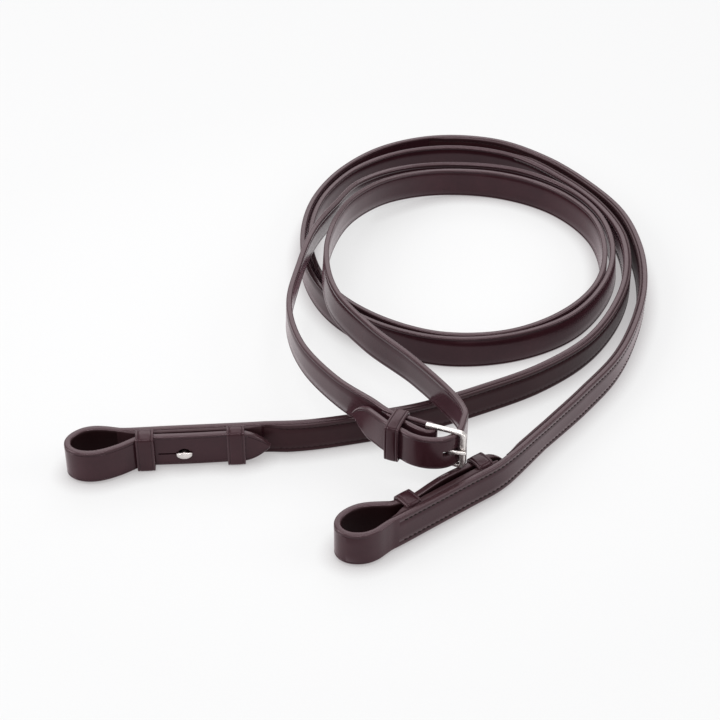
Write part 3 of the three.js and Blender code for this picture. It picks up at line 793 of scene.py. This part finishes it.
def build_stay(side):
    """The filler sewn behind the strap: thick in the middle and skived at both ends."""
    end = BIT_ENDS[side]
    direction = Vector((math.cos(end["heading"]), math.sin(end["heading"]), 0))
    tail_side = Vector((-direction.y, direction.x, 0)) * end["side"]
    stations, sections = [], []
    stay_end = end["stay_end"]
    for u in spans(THROAT - 2.5, stay_end + 1, 1.5):
        skived = smooth_step(u, stay_end - 10, stay_end + 2)
        swell = smooth_step(u, THROAT - 3, THROAT + 9) * (1 - 0.7 * skived)
        thick = (end["stay"] + 0.2) * (0.1 + 0.9 * swell)
        v = STRAP_THICK / 2 + thick / 2 + 0.05
        point = np.array(((*end_place(end, u, v), END_RISE + STRAP_WIDTH / 2)))
        right = np.array(tail_side) * -end["side"]
        stations.append((point, np.array(direction), right, np.array((0.0, 0.0, 1.0))))
        sections.append(strap_section(thick / 2, STRAP_WIDTH / 2 - 0.15, [], [], radius=0.8))
    stay = sweep(side + "_stay", stations, sections)
    attach(stay, "reins", "lining_leather", LINING_LEATHER, "stay_" + side)


# ----------------------------------------
# Keepers
# ----------------------------------------

def keeper(name, low, high, length, wall, place, bulge=0.25):
    """A folded leather loop in the (y, z) plane round x = 0. low and high are its outer corners."""
    corner = 2.1
    centres = [
        (high[0] - corner, high[1] - corner, 0), (low[0] + corner, high[1] - corner, 90),
        (low[0] + corner, low[1] + corner, 180), (high[0] - corner, low[1] + corner, 270),
    ]
    ring = []
    for index, (y, z, start) in enumerate(centres):
        for degrees in range(start, start + 91, 15):
            angle = math.radians(degrees)
            ring.append((y, z, math.cos(angle), math.sin(angle), corner))
        after_y, after_z, after_start = centres[(index + 1) % 4]
        angle = math.radians(after_start)
        for share in (0.2, 0.4, 0.6, 0.8):
            between = (y + (after_y - y) * share, z + (after_z - z) * share)
            reach = corner + bulge * math.sin(math.pi * share)
            ring.append((*between, math.cos(angle), math.sin(angle), reach))
    half, soft = length / 2, 0.45
    inner = wall - soft * 0.6
    # Across the band: (x, depth below the outer face, edge, crease)
    band = [
        (-half + soft, 0.0, 0.6, 0), (-half + 1.15, 0.0, 0, 0), (-half + 1.4, 0.2, 0, 1),
        (-half + 1.65, 0.0, 0, 0), (-half * 0.4, -0.06, 0, 0), (0, -0.09, 0, 0),
        (half * 0.4, -0.06, 0, 0), (half - 1.65, 0.0, 0, 0), (half - 1.4, 0.2, 0, 1),
        (half - 1.15, 0.0, 0, 0), (half - soft, 0.0, 0.6, 0), (half - 0.12, 0.16, 1, 0),
        (half, soft, 1, 0), (half, inner, 1, 0), (half - 0.3, wall, 1, 0),
        (-half + 0.3, wall, 1, 0), (-half, inner, 1, 0), (-half, soft, 1, 0), (-half + 0.12, 0.16, 1, 0),
    ]
    vertices, edges, creases = [], [], []
    for y, z, out_y, out_z, reach in ring:
        for x, depth, edge, crease in band:
            spot = Vector((x, y + out_y * (reach - depth), z + out_z * (reach - depth)))
            vertices.append(tuple(place @ spot))
            edges.append(float(edge))
            creases.append(float(crease))
    count, turns = len(band), len(ring)
    faces = []
    for i in range(turns):
        for k in range(count):
            a, b = i * count + k, i * count + (k + 1) % count
            c, d = ((i + 1) % turns) * count + k, ((i + 1) % turns) * count + (k + 1) % count
            faces.append((a, b, d, c))
    return add_object(name, vertices, faces, {"edge": edges, "crease": creases})


def build_end_keepers(side):
    end = BIT_ENDS[side]
    half = STRAP_WIDTH / 2 + 0.3 + 1.2
    for node, u, room in (("front_keeper", FRONT_KEEPER, 2.3), ("rear_keeper", REAR_KEEPER, 0.4)):
        near, far = STRAP_THICK / 2 + 0.3, tail_place(end, u) + BILLET_THICK / 2 + room + 0.3 + 1.2
        low_v, high_v = (near, far) if end["side"] > 0 else (-far, -near)
        place = local_place(end) @ Matrix.Translation((u, 0, 0))
        piece = keeper(side + "_" + node, (low_v, -half), (high_v, half), 10.0, 1.4, place)
        attach(piece, "reins", "bridle_leather", STRAP_LEATHER, node + "_" + side)


# ----------------------------------------
# Hook studs
# ----------------------------------------

def hook_stud(side):
    """The hook stud: a turned shank and a half-moon head with softened edges."""
    end = BIT_ENDS[side]
    head_back = tail_place(end, STUD_PLACE) + BILLET_THICK / 2 + 0.4
    place = local_place(end) @ Matrix.Translation((STUD_PLACE, 0, STUD_LIFT))
    if end["side"] < 0:
        place = place @ Matrix.Rotation(math.pi, 4, "Z")
    # Head: one outline in (x, z), a half ellipse under a nearly flat top, drawn in at both faces.
    outline = []
    for k in range(33):
        angle = math.pi + math.pi * k / 32
        outline.append((4.5 * math.cos(angle), 3.0 * math.sin(angle)))
    half_top = [(4.48, 0.6), (4.2, 1.0), (3.7, 1.15), (1.9, 1.25)]
    outline += half_top + [(0, 1.3)] + [(-x, z) for x, z in reversed(half_top)]
    middle = -0.9
    profile = [(0.0, 0.84), (0.0, 0.92), (0.3, 1.0), (0.8, 1.0), (1.2, 0.93), (1.5, 0.78), (1.6, 0.45)]
    vertices = []
    for depth, share in profile:
        for x, z in outline:
            vertices.append((x * share, head_back + depth, middle + (z - middle) * share))
    count = len(outline)
    faces = ring_faces(len(profile), count)
    front = len(vertices)
    vertices += [(0.0, head_back + 1.62, middle), (0.0, head_back, middle)]
    last = (len(profile) - 1) * count
    for k in range(count):
        faces.append((last + k, last + (k + 1) % count, front))
        faces.append(((k + 1) % count, k, front + 1))
    # Shank: a turned peg from the base plate up into the head.
    start = len(vertices)
    turned = [(2.05, 2.4), (2.05, 1.7), (6.0, 1.5), (head_back - 0.8, 1.5), (head_back + 0.6, 1.6)]
    around = 28
    for depth, radius in turned:
        for k in range(around):
            angle = 2 * math.pi * k / around
            vertices.append((radius * math.cos(angle), depth, radius * math.sin(angle)))
    faces += ring_faces(len(turned), around, start)
    faces.append(tuple(start + k for k in range(around)))
    faces.append(tuple(start + (len(turned) - 1) * around + k for k in reversed(range(around))))
    placed = [tuple(place @ Vector(vertex)) for vertex in vertices]
    return add_object(side + "_hook_stud", placed, faces, sharp=40)


def build_stud(side):
    stud = hook_stud(side)
    attach(stud, "reins", "plated_metal", METAL, "hook_stud_" + side)
    plate = frame["nodes"]["stud_base_plate_" + side]
    plate = plate if hasattr(plate, "material_slots") else bpy.data.objects["stud_base_plate_" + side]
    for slot in plate.material_slots:
        slot.material = METAL


# ----------------------------------------
# Centre buckle
# ----------------------------------------

BUCKLE = Matrix.Translation((HEEL[0], HEEL[1], BUCKLE_MID)) @ Matrix.Rotation(BUCKLE_ANGLE, 4, "Z")
FRONT_BAR = 19.9
SIDE_HEIGHT = 11.1


def rounded_bar(half_a, half_b, radius, count=5):
    """A rounded rectangle as points, anticlockwise."""
    points = []
    for corner_a, corner_b, start in ((1, 1, 0), (-1, 1, 90), (-1, -1, 180), (1, -1, 270)):
        for k in range(count):
            angle = math.radians(start + 90 * k / (count - 1))
            points.append((
                corner_a * (half_a - radius) + radius * math.cos(angle),
                corner_b * (half_b - radius) + radius * math.sin(angle),
            ))
    return points


def tube_of_sections(name, stations, sections, place, sharp=45):
    """A capped skin over sections given at (point, first axis, second axis) stations."""
    vertices = []
    count = len(sections[0])
    for (point, first, second), section in zip(stations, sections):
        for x, y in section:
            vertices.append(tuple(place @ (point + first * x + second * y)))
    faces = ring_faces(len(stations), count)
    faces.append(tuple(reversed(range(count))))
    faces.append(tuple((len(stations) - 1) * count + k for k in range(count)))
    return add_object(name, vertices, faces, sharp=sharp)


def joined(name, pieces):
    """One object out of several, in the order given."""
    mesh = bmesh.new()
    for piece in pieces:
        mesh.from_mesh(piece.data)
        bpy.data.objects.remove(piece)
    data = bpy.data.meshes.new(name)
    mesh.to_mesh(data)
    mesh.free()
    smooth_shade(data, 45)
    piece = bpy.data.objects.new(name, data)
    bpy.context.scene.collection.objects.link(piece)
    return piece


def build_frame():
    """Two side bars that widen into the front bar, and a round heel bar through the chape."""
    corner = 2.6
    spots = [(-1.4, -SIDE_HEIGHT, 0)]
    for share in (0.15, 0.35, 0.55, 0.75, 1.0):
        spots.append((-1.4 + (FRONT_BAR - corner + 1.4) * share, -SIDE_HEIGHT, 0))
    for degrees in (15, 30, 45, 60, 75, 90):
        angle = math.radians(degrees)
        along = FRONT_BAR - corner + corner * math.sin(angle)
        spots.append((along, -SIDE_HEIGHT + corner - corner * math.cos(angle), degrees))
    middle = [(FRONT_BAR, z, 90) for z in (-5, -2, 0, 2, 5)]
    upper = [(a, -z, 180 - degrees) for a, z, degrees in reversed(spots)]
    stations, sections = [], []
    for a, z, degrees in spots + middle + upper:
        angle = math.radians(degrees)
        inward = Vector((-math.sin(angle), 0, math.cos(angle)))
        stations.append((Vector((a, 0, z)), inward, Vector((0, 1, 0))))
        wide = smooth_step(degrees, 0, 90) if degrees <= 90 else smooth_step(180 - degrees, 0, 90)
        sections.append(rounded_bar(1.15 + 0.55 * wide, 1.5 + 0.4 * wide, 0.75 + 0.1 * wide))
    bars = tube_of_sections("bars", stations, sections, BUCKLE)
    stations, sections = [], []
    for z, radius in ((-11.9, 1.2), (-11.7, 1.45), (-9.9, 1.5), (9.9, 1.5), (11.7, 1.45), (11.9, 1.2)):
        stations.append((Vector((0, 0, z)), Vector((1, 0, 0)), Vector((0, 1, 0))))
        sections.append(oval(0, 0, radius, radius, 28))
    heel = tube_of_sections("heel", stations, sections, BUCKLE)
    buckle = joined("centre_buckle_frame", [bars, heel])
    attach(buckle, "buckle_frame", "plated_metal", METAL, "buckle_frame")


def build_tongue():
    """A wire-like prong whose eye closes round the heel bar."""
    eye_radius = 2.5
    prong = [
        (2.6, -1.1), (5, -1.9), (8, -2.6), (11, -3.1), (14, -3.4), (17, -3.35), (19.6, -3.05),
        (21.4, -2.75), (22.4, -2.6),
    ]
    eye_turns = [math.radians(degrees) for degrees in range(10, 321, 18)]
    line = [Vector((eye_radius * math.cos(turn), eye_radius * math.sin(turn))) for turn in eye_turns]
    line += [Vector(spot) for spot in prong]
    stations, sections = [], []
    total = len(line)
    for i, spot in enumerate(line):
        ahead, behind = line[min(i + 1, total - 1)], line[max(i - 1, 0)]
        direction = (ahead - behind).normalized()
        normal = Vector((-direction.y, direction.x, 0))
        share = smooth_step(total - 1 - i, 0, 4)
        half_b, half_z = 0.7 + 0.3 * share, 1.0 + 0.3 * share
        if i == 0:
            half_b, half_z = 0.8, 1.05
        stations.append((Vector((spot.x, spot.y, 0)), normal, Vector((0, 0, 1))))
        sections.append(rounded_bar(half_b, half_z, min(half_b, half_z) * 0.85))
    tongue = tube_of_sections("centre_buckle_tongue", stations, sections, BUCKLE, sharp=60)
    attach(tongue, "buckle_tongue", "plated_metal", METAL, "buckle_tongue")


def build_chape():
    """The end of the right rein folded round the heel bar, its keeper and its stitches."""
    path = PATHS["right"]

    def chape_thick(travel):
        ending = smooth_step(path.total - travel, 0, 9)
        start = smooth_step(travel, path.buckle, path.buckle + 10)
        return (STRAP_THICK + (CHAPE_THICK - STRAP_THICK) * start) * (0.45 + 0.55 * ending)

    def chape_front(travel):
        return [PLAIN_LINE]

    def chape_back(travel):
        fade = 1 - smooth_step(travel, path.buckle, path.buckle + 6)
        return [(*SOFT_LINE[:2], SOFT_LINE[2] * fade, SOFT_LINE[3])]

    chape = strap_piece(
        "buckle_chape_fold", path, "right", path.buckle, path.total, 0.7,
        chape_thick, chape_front, chape_back,
    )
    slot = prism([(-4.7, -2.1), (6.7, -2.1), (6.7, 2.1), (-4.7, 2.1)], -7, 7, BUCKLE)
    cut_with(chape, [slot])
    attach(chape, "reins", "bridle_leather", STRAP_LEATHER, "buckle_chape")
    place = BUCKLE @ Matrix.Translation((-17.7, 0, 0))
    half = STRAP_WIDTH / 2 + 0.3 + 1.2
    ring = keeper("centre_buckle_keeper", (-10.9, -half), (8.0, half), 8.0, 1.35, place, bulge=0.35)
    attach(ring, "reins", "bridle_leather", STRAP_LEATHER, "buckle_keeper")
    rows = []
    fold = path.total - 2.0
    for up in (STRAP_WIDTH / 2 - 2.6, -STRAP_WIDTH / 2 + 2.6):
        stitch_row(rows, path, path.buckle - 1.5, path.buckle + 12, 1, up, chape_thick)
        stitch_row(rows, path, fold - 13, fold, 1, up, chape_thick)
    threads = stitches("chape_stitching", rows)
    attach(threads, "reins", "bridle_leather", THREAD)


def build_centre_billet():
    """The pointed end of the left rein, through the frame and back under the keeper."""
    path = PATHS["left"]

    def thick(travel):
        return STRAP_THICK

    def front(travel):
        return [PLAIN_LINE]

    def back(travel):
        return [SOFT_LINE]

    billet = strap_piece(
        "centre_billet_strap", path, "left", path.buckle, path.total, 0.8, thick, front, back, tip="end"
    )
    turned = BUCKLE @ Matrix.Translation((13.2, -3.4, 0)) @ Matrix.Rotation(math.radians(-48), 4, "Z")
    hole = prism(oval(0, 0, 3.4, 1.9), -4.5, 4.5, turned)
    cut_with(billet, [hole])
    attach(billet, "reins", "bridle_leather", STRAP_LEATHER, "centre_billet")


for rein_side in ("left", "right"):
    build_rein(rein_side)
    build_end_keepers(rein_side)
    build_stud(rein_side)
build_frame()
build_tongue()
build_chape()
build_centre_billet()

# ----------------------------------------
# Floor and studio light
# ----------------------------------------

FLOOR_HALF = 6000
corners = ((-1, -1), (1, -1), (1, 1), (-1, 1))
floor = add_object("studio_floor", [(FLOOR_HALF * x, FLOOR_HALF * y, 0) for x, y in corners], [(0, 1, 2, 3)])
floor.data.materials.append(floor_material())

world = bpy.data.worlds.new("studio")
bpy.context.scene.world = world
world.use_nodes = True
world.node_tree.nodes["Background"].inputs["Color"].default_value = (1.0, 1.0, 1.0, 1.0)
world.node_tree.nodes["Background"].inputs["Strength"].default_value = 0.66


def area_light(name, place, target, size, power, colour=(1.0, 1.0, 1.0)):
    data = bpy.data.lights.new(name, "AREA")
    data.shape = "RECTANGLE"
    data.size, data.size_y = size
    data.energy = power
    data.color = colour
    light = bpy.data.objects.new(name, data)
    light.location = place
    light.rotation_euler = (Vector(target) - Vector(place)).to_track_quat("-Z", "Y").to_euler()
    bpy.context.scene.collection.objects.link(light)
    return light


area_light("overhead_softbox", (0.1, 0.45, 1.6), (0, 0, 0), (1.6, 1.2), 9.0)
area_light("left_softbox", (-1.5, -0.3, 1.1), (0, 0, 0), (1.0, 1.0), 15.0)
area_light("front_strip", (-0.1, -1.25, 1.75), (0, 0, 0), (1.8, 0.22), 15.0)
area_light("back_softbox", (0.0, 1.7, 1.3), (0, 0, 0), (2.0, 0.8), 8.0)
area_light("right_softbox", (1.6, -0.25, 0.9), (0, 0, 0), (0.9, 0.9), 6.0)

bpy.context.scene.view_settings.view_transform = "Standard"
